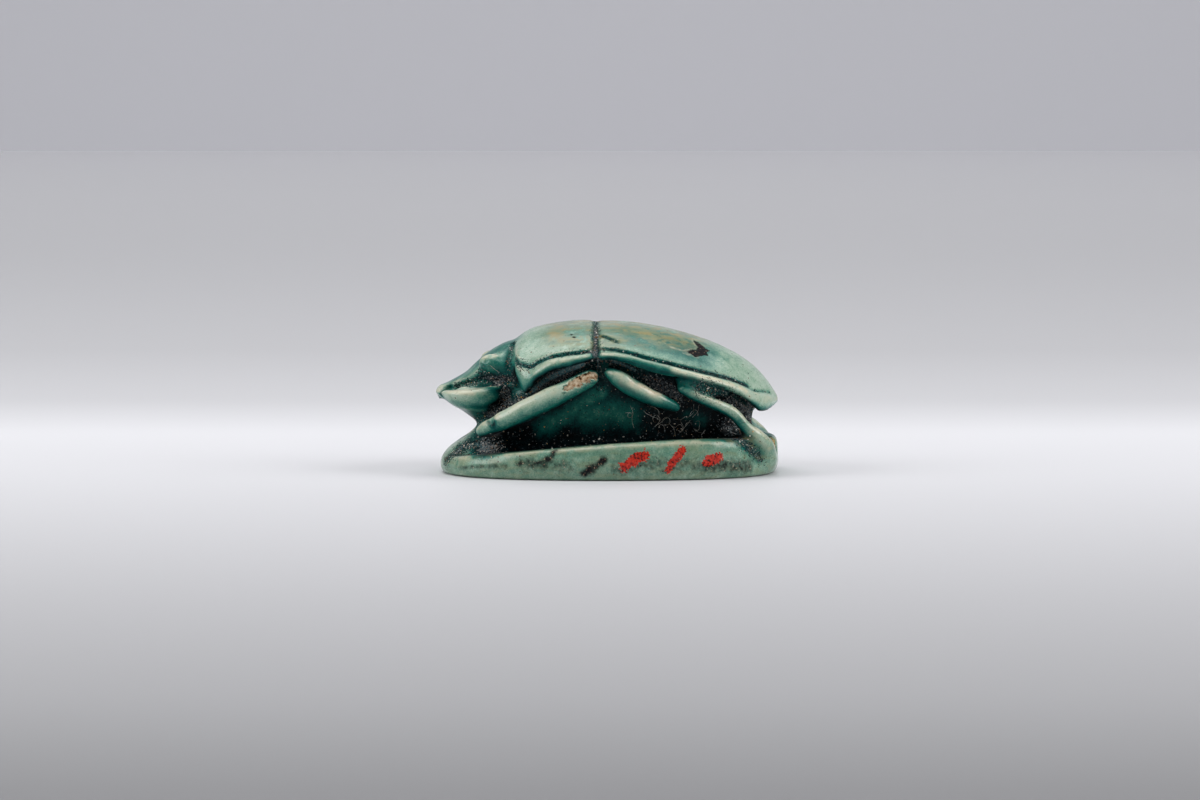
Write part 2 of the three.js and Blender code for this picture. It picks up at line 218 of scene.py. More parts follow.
brim_front = [
    (-4.3, 5.1, 5.0), (-3.6, 5.5, 5.6), (-2.7, 5.8, 6.15), (-1.8, 5.95, 6.45), (-0.9, 6.0, 6.6),
]
brim = [
    (-0.5, 5.9, 6.65), (0.5, 5.95, 6.6), (1.5, 5.95, 6.45), (2.6, 5.8, 6.15), (3.6, 5.6, 5.85),
    (4.6, 5.3, 5.5),
]

# Each cut has its width, its depth and its line. A swell is a cut that goes outwards: it fades
# towards its two ends over a longer stretch than a cut does.
cuts = [
    (0.12, 0.16, thorax_edge), (0.1, 0.15, wing_edge), (0.08, 0.06, tail_line), (0.12, 0.16, shoulder),
    (0.1, 0.12, over_eye), (0.16, 0.1, cheek), (0.15, 0.26, tooth), (0.14, 0.16, nape),
    (0.07, 0.06, crease), (0.1, 0.12, toe), (0.16, 0.12, ankle),
]
swells = [
    (0.3, -0.1, shank), (0.35, -0.18, brim_front), (0.4, -0.22, brim), (0.5, -0.34, lip_face),
    (0.25, -0.12, lip_top), (0.35, -0.16, knee), (0.3, -0.14, hip), (0.34, -0.12, nose),
]
for width, depth, stops in cuts + swells:
    cut, along = line(stops, width)
    taper = 0.06 if depth > 0 else 0.35
    ends = ease(along, 0, taper) * ease(1 - along, 0, taper)
    points -= facing * (depth * cut * ends)[:, None]

# The thorax and the wing cases are divided right across the back, a line parts the wing cases,
# and an oval line runs round the underside.
division_at = -0.65
base_middle, base_half_length, base_half_width = 0.1, 9.9, 7
border_at = 0.88


def border(width, low, high):
    """How near each point is to the oval line on the underside, up to a height."""
    outward = np.hypot((x - base_middle) / base_half_length, y / base_half_width)
    return fading(outward - border_at, width) * (1 - ease(z, low, high))


x, y, z = points.T
division = fading(x - division_at, 0.19) * ease(z, 6.1, 6.6) * (1 - 0.65 * ease(z, 8.1, 8.6))
parting = fading(y, 0.13) * ease(x, -0.5, -0.2) * ease(z, 4.5, 4.8)
points -= facing * (0.13 * division + 0.08 * parting + 0.07 * border(0.012, 0.02, 0.1))[:, None]

# The hand's unevenness everywhere but the flat underside.
facing = facings()
uneven = (rough(1.6, 1) * 0.02 + rough(0.55, 2) * 0.008) * ease(points[:, 2], 0.05, 0.4)
points += facing * uneven[:, None]

# Points are thinned out where the stone is plain or out of sight, most of all below and in the
# string hole, and doubled where the small damage is. A point of weight 0 would never be thinned.
hole_height, hole_reach = 2.72, 0.8
hole_from, hole_to = -7.4, 8.3
far_flank = 0.5
x, y, z = points.T
in_hole = (np.hypot(y, z - hole_height) < hole_reach) & (abs(y) < 0.79) & (x > hole_from) & (x < hole_to)
plain = (z < 0.01) | in_hole
marks = stone.vertex_groups.new(name="plain")
for weight, chosen in (
    (1.0, plain),
    (0.3, ~plain & (y > far_flank)),
    (0.01, ~plain & (y <= far_flank)),
):
    marks.add([int(i) for i in np.flatnonzero(chosen)], weight, "REPLACE")
stone.data.vertices.foreach_set("co", points.ravel())
stone.data.update()
thinner = stone.modifiers.new("thinner", "DECIMATE")
thinner.ratio = 0.56
thinner.vertex_group = marks.name
thinner.vertex_group_factor = 0.02
bpy.ops.object.modifier_apply(modifier=thinner.name)
stone.vertex_groups.clear()
points, edges = survey()


def doubled(near):
    """Splits the faces whose corners are all near, and surveys the stone again."""
    bpy.ops.object.mode_set(mode="OBJECT")
    chosen = [all(near[v] for v in face.vertices) for face in stone.data.polygons]
    bpy.ops.object.mode_set(mode="EDIT")
    bpy.ops.mesh.select_all(action="DESELECT")
    bpy.ops.mesh.select_mode(type="FACE")
    bpy.ops.object.mode_set(mode="OBJECT")
    stone.data.polygons.foreach_set("select", chosen)
    bpy.ops.object.mode_set(mode="EDIT")
    bpy.ops.mesh.subdivide(number_cuts=1)
    bpy.ops.object.mode_set(mode="OBJECT")
    return survey()


# The damage is on the near flank alone: a scar in the wing case, a chip in the front leg, a
# broken patch at the rear of the base, two pits in the thorax and a crack in the middle leg.
scar_outline = [
    (4.95, 7.75), (5.41, 7.57), (5.58, 7.42), (5.92, 7.15), (5.74, 7.08), (5.79, 6.95), (5.33, 6.92),
    (5.15, 6.85), (4.75, 7.05), (4.4, 7.19), (4.75, 7.26), (5.16, 7.27), (5.23, 7.39), (5.01, 7.65),
]
chip = [(-2.4, -6.1, 5.2), (-1.75, -6.0, 5.6), (-1.1, -5.9, 5.9), (-0.7, -5.8, 6.0)]
broken_rear = [(8.9, -1.6, 2.6), (9.3, -1.5, 2.16), (9.64, -1.8, 1.84), (9.85, -2.0, 1.5)]
crack = [(0.18, -5.86, 6.06), (0.45, -6.0, 5.9), (0.8, -6.05, 5.76)]
pits = [
    (0.07, [(-2.08, -3.3, 8.19), (-2.03, -3.38, 8.15)]),
    (0.08, [(-1.93, -3.7, 8.05), (-1.85, -3.74, 8.02)]),
]


def around_scar(half_length, half_height):
    """Which points lie in a block around the scar."""
    x, y, z = points.T
    return (abs(x - 5.15) < half_length) & (abs(z - 7.3) < half_height) & (y < -1.4)


points, edges = doubled(around_scar(0.95, 0.6) | (line(chip, 0.45, "near")[0] > 0.3))
points, edges = doubled(around_scar(0.9, 0.55))
facing = facings()
x, y, z = points.T


def within(outline, across, up):
    """How far inside a closed outline each place is, negative outside, in millimetres."""
    corners = np.array(outline, float)
    inside = np.zeros(len(across), bool)
    gap = np.full(len(across), 1e9)
    for (ax, ay), (bx, by) in zip(corners, np.roll(corners, -1, 0)):
        run, rise = bx - ax, by - ay
        crosses = (ay > up) != (by > up)
        inside ^= crosses & (across < ax + (up - ay) * run / (rise + 1e-12))
        t = np.clip(((across - ax) * run + (up - ay) * rise) / (run**2 + rise**2), 0, 1)
        gap = np.minimum(gap, np.hypot(across - ax - t * run, up - ay - t * rise))
    return np.where(inside, gap, -gap)


near_side = y < -1.2
jag = rough(0.12, 5) * 0.05 + rough(0.3, 15) * 0.04
scar = ease(within(scar_outline, x, z) + jag, -0.06, 0.07) * near_side
touch, along = line(chip, 0.34, "near")
touch -= 0.45 * (1 - ease(along, 0, 0.4))
chipped = ease(touch + rough(0.3, 6) * 0.42 + rough(0.1, 17) * 0.3, 0.34, 0.44)
ragged_break = line(broken_rear, 0.45, "near")[0] + rough(0.35, 7) * 0.35 + rough(0.12, 18) * 0.15
rear_break = ease(ragged_break, 0.4, 0.5)
pitted = np.max([line(stops, width, "near")[0] for width, stops in pits], axis=0)
cracked = line(crack, 0.05, "near")[0]
crumble = 0.5 + 0.5 * rough(0.16, 8)
points -= facing * (
    scar * (0.02 + 0.03 * crumble)
    + chipped * (0.08 + 0.12 * crumble + 0.08 * rough(0.4, 9))
    + rear_break * (0.06 + 0.16 * crumble)
    + pitted * 0.05
    + cracked * 0.05
)[:, None]
points[:, 2] = np.maximum(points[:, 2], 0)
facing = facings()
x, y, z = points.T

# How deep each point lies in among the stone round it, found by looking out from it.
stone_skin = BVHTree.FromPolygons(
    [Vector(p) for p in points], [tuple(face.vertices) for face in stone.data.polygons]
)
look_count, reach, turn_by = 20, 3.5, math.pi * (3 - math.sqrt(5))
looks = []
for i in range(look_count):
    up = math.sqrt((i + 0.5) / look_count)
    aside = math.sqrt(1 - up * up)
    looks.append(Vector((aside * math.cos(turn_by * i), aside * math.sin(turn_by * i), up)))
deep = np.zeros(len(points))
for i, (place, outward) in enumerate(zip(points, facing)):
    outward = Vector(outward)
    turned = outward.to_track_quat("Z", "Y")
    start = Vector(place) + outward * 0.02
    for look in looks:
        distance = stone_skin.ray_cast(start, turned @ look, reach)[3]
        if distance is not None:
            deep[i] += (1 - distance / reach) / look_count
deep = rubbed(deep, 3)
bulge = rubbed(np.einsum("ij,ij->i", points - rubbed(points, 10), facing) / 0.02, 2)

# The base ends in a ledge that falls away to both ends, and the beetle begins above it. Its legs
# bridge a hollow, the undercut, from the ledge up to the roof that the rims make.
ledge_highest, ledge_highest_at, ledge_fall, ledge_power = 2.34, 5.3, 0.0175, 1.6
ledge = ledge_highest - ledge_fall * abs(ledge_highest_at - x) ** ledge_power
above = z - ledge + ease(4.75 - abs(y), 0, 0.3) * ease(z, 0.9, 1.3) * ease(7.9 - abs(x), 0, 0.6)
beetle = ease(above, 0.0, 0.4)
roof = [
    (-7.7, 2.5), (-7.0, 2.9), (-6.0, 3.6), (-5.5, 4.9), (-4.5, 4.9), (-3.3, 6.1), (-0.7, 6.75), (0.75, 6.8),
    (3.07, 6.15), (5.4, 5.45), (7.14, 4.85), (8.3, 4.1),
]
hollow_half_width = np.where(above < 0.25, 5.75, 4.78)
hollow_foot = above + 0.15 * rough(0.4, 14) + 0.12 * rough(0.15, 16)
undercut = (
    ease(hollow_half_width - abs(y), -0.1, 0.45)
    * ease(hollow_foot, -0.42, 0.05)
    * ease(np.interp(x, *zip(*roof)) - z, -0.1, 0.4)
    * ease(x + 0.5 * rough(0.4, 12), -8.3, -7.2)
    * ease(8.6 - x, 0, 0.3)
)
for stops, width in [
    ([(1.0, 5.95, 5.75), (2.9, 5.6, 4.8), (3.7, 5.1, 4.3)], 0.45),
    ([(5.0, 5.4, 4.95), (7.2, 4.8, 3.9), (8.1, 4.5, 2.9)], 0.4),
    ([(-7.2, 4.3, 2.85), (-4.9, 5.6, 3.9), (-1.6, 6.1, 5.6)], 0.4),
]:
    undercut *= 1 - ease(line(stops, width)[0], 0.1, 0.5)
undercut = rubbed(undercut, 2)

# How dark the glaze is painted, 0 palest and 1 darkest. It darkens where the stone lies deep among the
# stone round it and where it faces down: painted shade, over glaze that also pools in the hollows.
below = ease(0.35 - facing[:, 2], 0, 1.25)
glaze_and_shade = beetle * (0.5 * below + 0.95 * deep) + (1 - beetle) * (0.21 + 1.0 * deep)
glaze_and_shade += 0.4 * border(0.015, 0.1, 0.15)

# Strokes that darken it further, each with how much, its width and its line: thicker glaze along the
# cut lines, and painted shade under the rims and in the throat.
middle_line = [
    (-0.4, 0.0, 8.8), (1.5, 0.0, 8.78), (3.0, 0.0, 8.6), (4.5, 0.0, 8.3), (6.0, 0.0, 7.75), (7.5, 0.0, 7.0),
]
brushed = [
    # the rims, painted shade under them, and the lines above them
    (0.2, 0.4, [(-4.3, 5.25, 5.7), (-3.3, 5.9, 6.5), (-1.0, 6.15, 7.0)]),
    (0.3, 0.35, [(-0.3, 6.15, 6.95), (1.4, 6.15, 6.8), (3.4, 5.95, 6.3)]),
    (0.5, 0.14, thorax_edge),
    (0.2, 0.45, thorax_edge),
    (0.7, 0.13, wing_edge),
    (0.16, 0.35, wing_edge),
    (0.3, 0.35, [(-4.3, 5.0, 5.2), (-2.7, 5.6, 6.2), (-1.0, 5.9, 6.7)]),
    (0.3, 0.35, [(-0.2, 5.9, 6.6), (1.4, 5.95, 6.45), (3.0, 5.7, 6.1), (4.6, 5.3, 5.6)]),
    (0.1, 0.4, [(-0.9, 4.6, 7.6), (-0.9, 5.4, 7.1)]),
    # the lines on the back
    (0.25, 0.12, tail_line),
    (0.55, 0.14, shoulder),
    (0.6, 0.22, [(-0.66, 0.0, 8.8), (-0.66, 2.5, 8.4), (-0.66, 4.5, 7.6), (-0.66, 5.5, 7.1)]),
    # the wing cases and the knee
    (0.1, 0.8, [(1.0, 2.6, 8.3), (2.0, 3.0, 8.1), (4.4, 3.4, 7.3)]),
    (0.08, 1.4, [(1.0, 2.5, 8.4), (4.6, 2.6, 7.6)]),
    (0.2, 0.35, [(3.2, 5.4, 4.5), (4.0, 4.9, 4.1)]),
    # the head
    (0.16, 0.75, [(-8.4, 1.3, 5.4), (-7.4, 1.9, 5.8), (-6.4, 2.5, 6.1), (-5.9, 2.6, 5.9)]),
    (0.42, 0.8, [(-9.0, 0.5, 5.25), (-7.2, 0.5, 6.6), (-5.6, 0.6, 7.5)]),
    # the feet and the ledge
    (0.5, 0.5, [(-9.1, 2.4, 1.1), (-8.4, 2.1, 1.6), (-7.6, 2.6, 1.8), (-6.8, 3.3, 1.5)]),
    (0.5, 0.4, [(7.3, 4.6, 2.4), (8.0, 4.4, 1.95), (8.5, 4.0, 1.5), (8.7, 3.85, 1.2)]),
    (0.3, 0.12, [(5.4, 5.95, 2.3), (7.0, 5.2, 2.2), (7.6, 5.0, 1.9), (8.2, 4.3, 1.45), (8.6, 3.8, 1.0)]),
    (0.3, 0.3, [(-7.4, 0.1, 2.8), (-7.8, 0.0, 2.4), (-8.4, 0.0, 1.9)]),
    (0.3, 0.3, [(-7.6, 1.6, 2.3), (-8.0, 1.9, 2.0), (-8.6, 2.2, 1.4)]),
    # painted shade in the throat and the neck
    (0.8, 0.8, [(-6.2, 2.6, 4.9), (-6.1, 2.6, 4.2), (-6.4, 2.4, 3.6)]),
    (0.4, 0.7, [(-5.2, 3.2, 5.9), (-5.0, 4.0, 5.3)]),
    # broad washes over the back
    (0.1, 3.0, [(-3.0, 2.5, 8.2), (6.5, 2.0, 7.0)]),
    (0.17, 1.3, [(-2.0, 3.2, 8.1), (0.5, 3.6, 8.0), (3.0, 3.4, 7.8), (5.0, 2.9, 7.4)]),
    (0.12, 1.2, [(1.5, 2.0, 8.5), (4.0, 2.6, 7.9), (5.5, 3.0, 7.1)]),
    (0.1, 0.9, [(1.0, 4.3, 7.6), (3.0, 4.1, 7.3), (5.0, 3.7, 6.8)]),
    (0.13, 0.5, [(0.8, 4.2, 7.7), (2.5, 4.3, 7.3), (4.3, 4.2, 6.8), (5.6, 3.8, 6.4)]),
    (0.08, 0.8, [(1.5, 1.5, 8.6), (4.0, 1.8, 8.1), (6.0, 2.0, 7.2)]),
    (0.06, 1.0, [(-3.6, 2.8, 7.9), (-2.0, 3.4, 8.1)]),
]
for amount, width, stops in brushed:
    glaze_and_shade += amount * line(stops, width)[0]
# The hollow under the legs is painted dark as shade, except at the knee.
glaze_and_shade = np.maximum(glaze_and_shade, 0.9 * undercut * (1 - ease(line(knee, 0.4)[0], 0.2, 0.6)))

# Strokes that bring it to a tone of their own, each with the tone, how far it is brought there,
# its width and its line. A later stroke lies over an earlier one. Some are painted light and shade.
toned = [
    # the head and its lip
    (0.3, 0.6, 0.25, [(-7.9, 1.6, 5.6), (-7.4, 2.1, 5.9), (-6.6, 2.5, 6.0)]),
    (0.0, 0.9, 0.4, [(-9.3, 2.2, 4.6), (-8.7, 2.9, 4.55), (-8.1, 3.2, 4.6)]),
    (0.08, 0.8, 0.35, [(-9.3, 1.0, 4.6), (-9.5, 0.3, 4.7)]),
    (0.36, 0.95, 0.42, [(-7.3, 3.2, 4.45), (-6.8, 3.2, 4.5), (-6.3, 3.15, 4.6), (-5.7, 3.0, 4.8)]),
    (0.3, 0.95, 0.4, [(-8.8, 2.0, 4.0), (-7.9, 2.6, 3.86), (-7.1, 2.7, 3.8)]),
    (0.46, 0.9, 0.5, [
        (-7.9, 0.9, 6.1), (-7.4, 1.0, 6.4), (-6.9, 1.1, 6.8), (-6.2, 1.2, 7.2), (-5.7, 1.0, 7.4),
    ]),
    (0.42, 0.8, 0.3, [(-7.3, 2.2, 6.3), (-6.7, 2.45, 6.5), (-6.0, 2.4, 6.6)]),
    (0.42, 0.8, 0.25, [(-6.2, 1.6, 7.05), (-5.8, 1.5, 7.2)]),
    # the middle line, the ledge, painted shade on the lower edges of the legs, and painted light on the
    # shaded hind foot
    (0.72, 0.9, 0.13, middle_line),
    (0.4, 0.5, 0.18, [
        (-6.5, 4.9, 1.35), (-4.0, 5.9, 1.7), (-1.5, 6.3, 2.0), (1.0, 6.35, 2.15), (4.0, 6.0, 2.2),
    ]),
    (0.1, 0.8, 0.25, [(8.2, 4.45, 2.7), (8.6, 4.3, 2.3), (9.0, 4.0, 1.9)]),
    (0.45, 0.7, 0.2, [(-6.1, 4.8, 2.75), (-5.0, 5.4, 3.35), (-3.3, 5.95, 4.2)]),
    # the head once more, with painted highlights on the top of the lip and the eye's upper edge
    (0.5, 0.8, 0.25, [(-5.6, 1.3, 7.3), (-5.8, 2.0, 7.0)]),
    (0.42, 0.8, 0.5, [(-8.6, 1.2, 4.0), (-7.9, 1.8, 3.7), (-7.3, 1.9, 3.4)]),
    (0.0, 0.95, 0.2, lip_top),
    (0.12, 0.8, 0.35, [(-9.2, 0.8, 5.0), (-8.5, 1.2, 5.1), (-7.8, 1.6, 5.25)]),
    (0.08, 0.6, 0.2, [(-8.6, 0.9, 5.45), (-8.2, 0.9, 5.75), (-7.7, 0.9, 6.15)]),
    (0.05, 0.8, 0.16, [(-6.92, 2.2, 6.8), (-6.5, 2.2, 6.85), (-6.1, 1.9, 6.95)]),
    (0.42, 0.85, 0.42, [(-6.7, 2.55, 6.35), (-6.0, 2.6, 6.4), (-5.7, 2.6, 6.6)]),
    (0.62, 0.8, 0.3, [(-5.75, 2.4, 6.9), (-5.75, 2.7, 6.4), (-5.75, 2.7, 5.9)]),
    (0.45, 0.8, 0.45, [(-4.9, 4.5, 5.2), (-5.25, 2.7, 4.9)]),
    (0.7, 0.9, 0.25, [(-6.5, 5.0, 3.2), (-6.6, 4.9, 2.9)]),
    # the rims, with painted light on their crests
    (0.15, 0.8, 0.16, [(-3.8, 5.2, 6.2), (-2.8, 5.65, 6.72), (-2.1, 5.8, 6.95), (-1.2, 5.9, 7.1)]),
    (0.46, 0.9, 0.3, [(-4.15, 5.1, 5.2), (-2.9, 5.8, 6.05), (-2.1, 6.0, 6.4), (-1.2, 6.1, 6.65)]),
    (0.42, 0.9, 0.32, [
        (-0.2, 5.85, 6.7), (0.7, 6.0, 6.65), (1.9, 5.9, 6.4), (3.0, 5.75, 6.05), (4.1, 5.5, 5.7),
    ]),
    (0.5, 0.9, 0.36, [(4.7, 5.4, 5.5), (5.6, 5.0, 5.2), (6.5, 4.3, 4.85), (7.2, 3.5, 4.6)]),
    # the legs
    (0.55, 0.85, 0.42, [(3.6, 5.3, 4.35), (4.5, 4.8, 3.9)]),
    (0.34, 0.6, 0.09, [
        (0.3, 5.8, 6.3), (0.9, 5.85, 6.1), (1.7, 5.85, 5.78), (2.6, 5.65, 5.3), (3.2, 5.45, 4.85),
    ]),
    (0.4, 0.7, 0.14, [(0.6, 5.9, 5.6), (1.5, 5.95, 5.1), (2.4, 5.8, 4.65), (3.1, 5.6, 4.4)]),
    (0.14, 0.7, 0.2, [(-7.3, 4.2, 2.9), (-6.9, 4.6, 3.1)]),
    (0.3, 0.6, 0.25, [(-7.3, 4.3, 2.7), (-6.7, 4.9, 2.8), (-4.9, 5.5, 3.6), (-2.9, 6.05, 4.5)]),
    (0.36, 0.7, 0.16, [(4.9, 5.5, 4.75), (5.9, 5.2, 4.3), (7.0, 4.8, 3.9)]),
    (0.4, 0.8, 0.4, [(7.3, 4.8, 3.6), (7.7, 4.65, 3.2), (7.95, 4.5, 2.8)]),
    # a painted highlight low on the thorax's side, and the foot of the base
    (0.0, 0.7, 0.45, [(-4.5, 3.95, 6.95), (-3.4, 4.4, 7.3), (-2.3, 4.7, 7.5)]),
    (0.1, 0.7, 0.16, [(-8.8, 3.6, 0.14), (-6.0, 5.75, 0.14), (-3.0, 6.75, 0.14), (0.0, 7.0, 0.14)]),
    (0.1, 0.7, 0.16, [(0.0, 7.0, 0.14), (3.0, 6.75, 0.14), (6.0, 5.75, 0.14), (8.8, 3.6, 0.14)]),
    # the front foot, the edge of the base, and the last touches on the legs
    (0.24, 0.7, 0.25, [(-7.4, 4.2, 2.8), (-7.0, 4.6, 3.0)]),
    (0.3, 0.6, 0.15, [(-4.0, 6.4, 1.45), (-1.5, 6.85, 1.6), (1.0, 6.85, 1.7)]),
    # painted shade in the pit at the ankle
    (0.95, 1.0, 0.17, ankle),
    (0.66, 1.0, 0.16, tooth),
    (0.05, 0.8, 0.25, [(-7.5, 0.5, 2.65), (-7.9, 0.6, 2.35), (-8.4, 1.1, 1.9)]),
    (0.0, 0.8, 0.2, [(-5.8, 5.0, 3.8), (-5.0, 5.25, 4.25), (-4.0, 5.5, 4.75)]),
    (0.36, 0.8, 0.16, [(-2.12, 6.0, 4.74), (-1.55, 5.96, 5.02), (-0.75, 5.85, 5.47)]),
    (0.55, 0.7, 0.16, [(0.61, 6.04, 5.54), (1.29, 6.04, 5.08), (1.86, 5.98, 4.79), (2.44, 5.76, 4.44)]),
    (0.5, 0.7, 0.22, [(4.15, 5.3, 5.32), (4.72, 5.39, 5.1), (5.29, 5.2, 4.91)]),
    (0.05, 0.8, 0.16, [(6.15, 5.09, 4.33), (6.56, 4.98, 4.1), (7.02, 4.8, 3.8), (7.37, 4.66, 3.5)]),
    (0.12, 0.8, 0.2, [(6.9, 4.56, 5.1), (7.32, 4.32, 4.91), (7.72, 4.06, 4.72), (8.19, 3.72, 4.52)]),
]
for tone, amount, width, stops in toned:
    towards = amount * line(stops, width)[0]
    glaze_and_shade += (tone - glaze_and_shade) * towards

# Clear teal shows in patches on the wall of the hollow, where its painted shade is lifted.
teal = np.zeros(len(points))
for amount, width, stops in [
    (1.0, 0.55, [(-3.6, 3.8, 2.9), (-2.2, 4.0, 3.6), (-0.9, 4.2, 4.5), (-0.4, 4.3, 4.8)]),
    (1.0, 0.85, [(-1.2, 4.1, 3.6), (-0.3, 4.1, 3.6), (0.5, 4.1, 3.8), (1.2, 4.0, 3.5)]),
    (0.6, 0.4, [(4.6, 3.5, 3.6), (5.5, 3.5, 3.2)]),
]:
    teal = np.maximum(teal, amount * line(stops, width)[0])
glaze_and_shade -= (0.5 + 0.12 * rough(0.35, 11)) * undercut * teal
glaze_and_shade = np.clip(rubbed(glaze_and_shade, 1), 0, 1)

# Cream shows where the stone stands out and faces up, and round the scar: partly glaze worn thin,
# partly painted highlight on tops the light falls on, such as the lip, the eye's edge and the rims.
halo = ease(within(scar_outline, x, z) + jag, -0.13, -0.03) * near_side * (1 - scar) * ease(5.6 - x, 0, 0.8)
wear_and_highlight = ease(bulge, 0.35, 1.2) * ease(facing[:, 2], -0.1, 0.35) * (1 - ease(glaze_and_shade, 0.15, 0.4)) * 0.6
for amount, width, stops, flanks in [
    (0.9, 0.22, [(-9.4, 1.5, 4.9), (-8.6, 2.6, 4.85), (-7.2, 2.85, 4.85)], "both"),
    (0.8, 0.22, [(3.9, 5.75, 6.35), (5.5, 5.3, 5.9), (7.0, 4.6, 5.5), (8.0, 3.85, 4.9)], "both"),
    (1.0, 0.26, [(0.8, 5.95, 5.85), (1.6, 6.0, 5.5), (2.5, 5.8, 5.05), (2.9, 5.6, 4.8)], "both"),
    (0.3, 0.2, [(-5.6, 5.3, 3.85), (-4.0, 5.85, 4.65), (-2.6, 6.1, 5.25)], "both"),
    (0.6, 0.22, [(-5.4, 4.95, 4.15), (-4.9, 5.3, 4.35), (-4.2, 5.4, 4.7)], "both"),
    (0.6, 0.16, [(4.9, 5.4, 5.0), (5.7, 5.3, 4.6), (6.9, 4.85, 4.2)], "both"),
    (0.3, 0.25, [(-7.2, 4.3, 2.95), (-6.95, 4.6, 3.1)], "both"),
    (0.25, 0.2, [(8.2, 4.5, 2.7), (8.9, 4.1, 2.1), (9.3, 3.6, 1.6)], "both"),
    (0.9, 0.12, [(-7.2, 2.12, 6.63), (-6.85, 2.08, 6.86), (-6.5, 1.8, 6.96)], "both"),
    (0.45, 0.08, [(3.66, -3.67, 7.45), (4.06, -3.64, 7.34), (4.4, -3.63, 7.22)], "near"),
    (0.5, 0.2, [(7.7, -4.1, 5.07), (8.25, -3.7, 4.64)], "near"),
]:
    wear_and_highlight = np.maximum(wear_and_highlight, amount * line(stops, width, flanks)[0])
wear_and_highlight = np.maximum(wear_and_highlight, 0.32 * halo)

# Dust lies in the lines and hollows. Above 1 it lies thick, and is painted pale as if lit where it sits in
# the shaded gaps.
dusty = np.zeros(len(points))
for width, amount, stops in [
    # the lines of the carving
    (0.16, 1.0, thorax_edge),
    (0.32, 0.4, thorax_edge),
    (0.32, 0.55, [(-5.1, 4.2, 6.45), (-4.6, 4.6, 6.3), (-4.0, 4.8, 6.55)]),
    (0.12, 0.6, middle_line),
    (0.12, 0.8, wing_edge),
    (0.26, 0.3, wing_edge),
    (0.1, 0.4, tail_line),
    (0.1, 0.5, shoulder),
    (0.16, 1.0, nape),
    (0.2, 1.0, cheek),
    (0.14, 0.9, toe),
    # under the rims
    (0.55, 0.85, [
        (-4.6, 3.25, 4.5), (-3.9, 3.5, 4.95), (-3.2, 3.8, 5.35), (-2.4, 4.1, 5.8), (-1.1, 4.55, 6.5),
    ]),
    (0.5, 0.8, [
        (0.3, 4.5, 6.7), (1.0, 4.55, 6.4), (1.65, 4.5, 6.0), (2.5, 4.4, 5.55), (3.2, 4.25, 5.1),
        (3.9, 4.1, 4.6),
    ]),
    (0.5, 0.85, [
        (5.3, 5.0, 5.2), (6.0, 4.6, 5.0), (6.7, 4.2, 4.7), (7.4, 2.7, 4.3), (8.0, 2.0, 3.8), (8.3, 1.3, 3.4),
    ]),
    (0.5, 0.55, [(8.3, 1.2, 3.3), (7.9, 1.5, 2.9), (7.5, 2.5, 2.7), (7.0, 2.9, 2.6)]),
    (0.35, 0.8, [(-0.5, 4.6, 6.5), (-0.4, 4.5, 6.0), (-0.4, 4.4, 5.4)]),
    # the cheek, the throat and the chest
    (0.3, 0.8, [(-7.3, 1.9, 6.0), (-6.8, 2.2, 5.6), (-5.9, 2.5, 5.5), (-5.4, 2.7, 5.3)]),
    (0.45, 0.85, [(-5.9, 2.5, 4.8), (-5.6, 2.7, 4.2), (-5.0, 3.0, 4.4), (-4.6, 3.2, 4.7)]),
    (0.4, 0.7, [(-7.5, 1.2, 2.8), (-7.1, 1.8, 3.2), (-6.7, 2.3, 3.6), (-5.9, 2.6, 3.95)]),
    # the feet
    (0.36, 0.9, [(7.1, 4.6, 2.5), (7.7, 4.7, 2.1), (8.1, 4.4, 1.7), (8.5, 4.0, 1.3)]),
    (0.26, 0.6, [(8.5, 4.0, 1.3), (8.85, 3.7, 0.9)]),
    (0.35, 1.0, [(-8.9, 2.6, 1.2), (-8.2, 3.2, 1.4), (-7.3, 4.0, 1.5), (-6.0, 4.5, 1.6)]),
    (0.6, 1.1, [(-9.1, 2.4, 1.1), (-8.4, 2.1, 1.6), (-7.6, 2.6, 1.8), (-6.8, 3.3, 1.5)]),
    (0.25, 0.8, [(-5.4, 2.9, 5.2), (-5.6, 2.7, 4.4), (-5.9, 3.2, 3.7)]),
    # thick under the front rim and in the waist, where it is painted pale as if lit
    (0.3, 1.5, [
        (-4.3, 3.3, 4.95), (-3.57, 3.58, 5.55), (-2.7, 4.06, 5.98), (-2.13, 4.31, 6.23), (-1.4, 4.5, 6.5),
    ]),
    (0.26, 1.25, [(0.27, 4.53, 6.7), (0.85, 4.54, 6.53), (1.59, 4.51, 6.18)]),
    (0.25, 1.2, [(-0.53, 5.0, 7.2), (-0.53, 4.45, 6.75), (-0.53, 4.5, 6.3)]),
]:
    dusty = np.maximum(dusty, amount * line(stops, width)[0])
seam = 0.72 * fading(x - division_at, 0.22) * ease(z, 5.9, 6.3)
dusty = np.maximum(dusty, seam)
dusty = np.maximum(dusty, 0.05 * undercut)

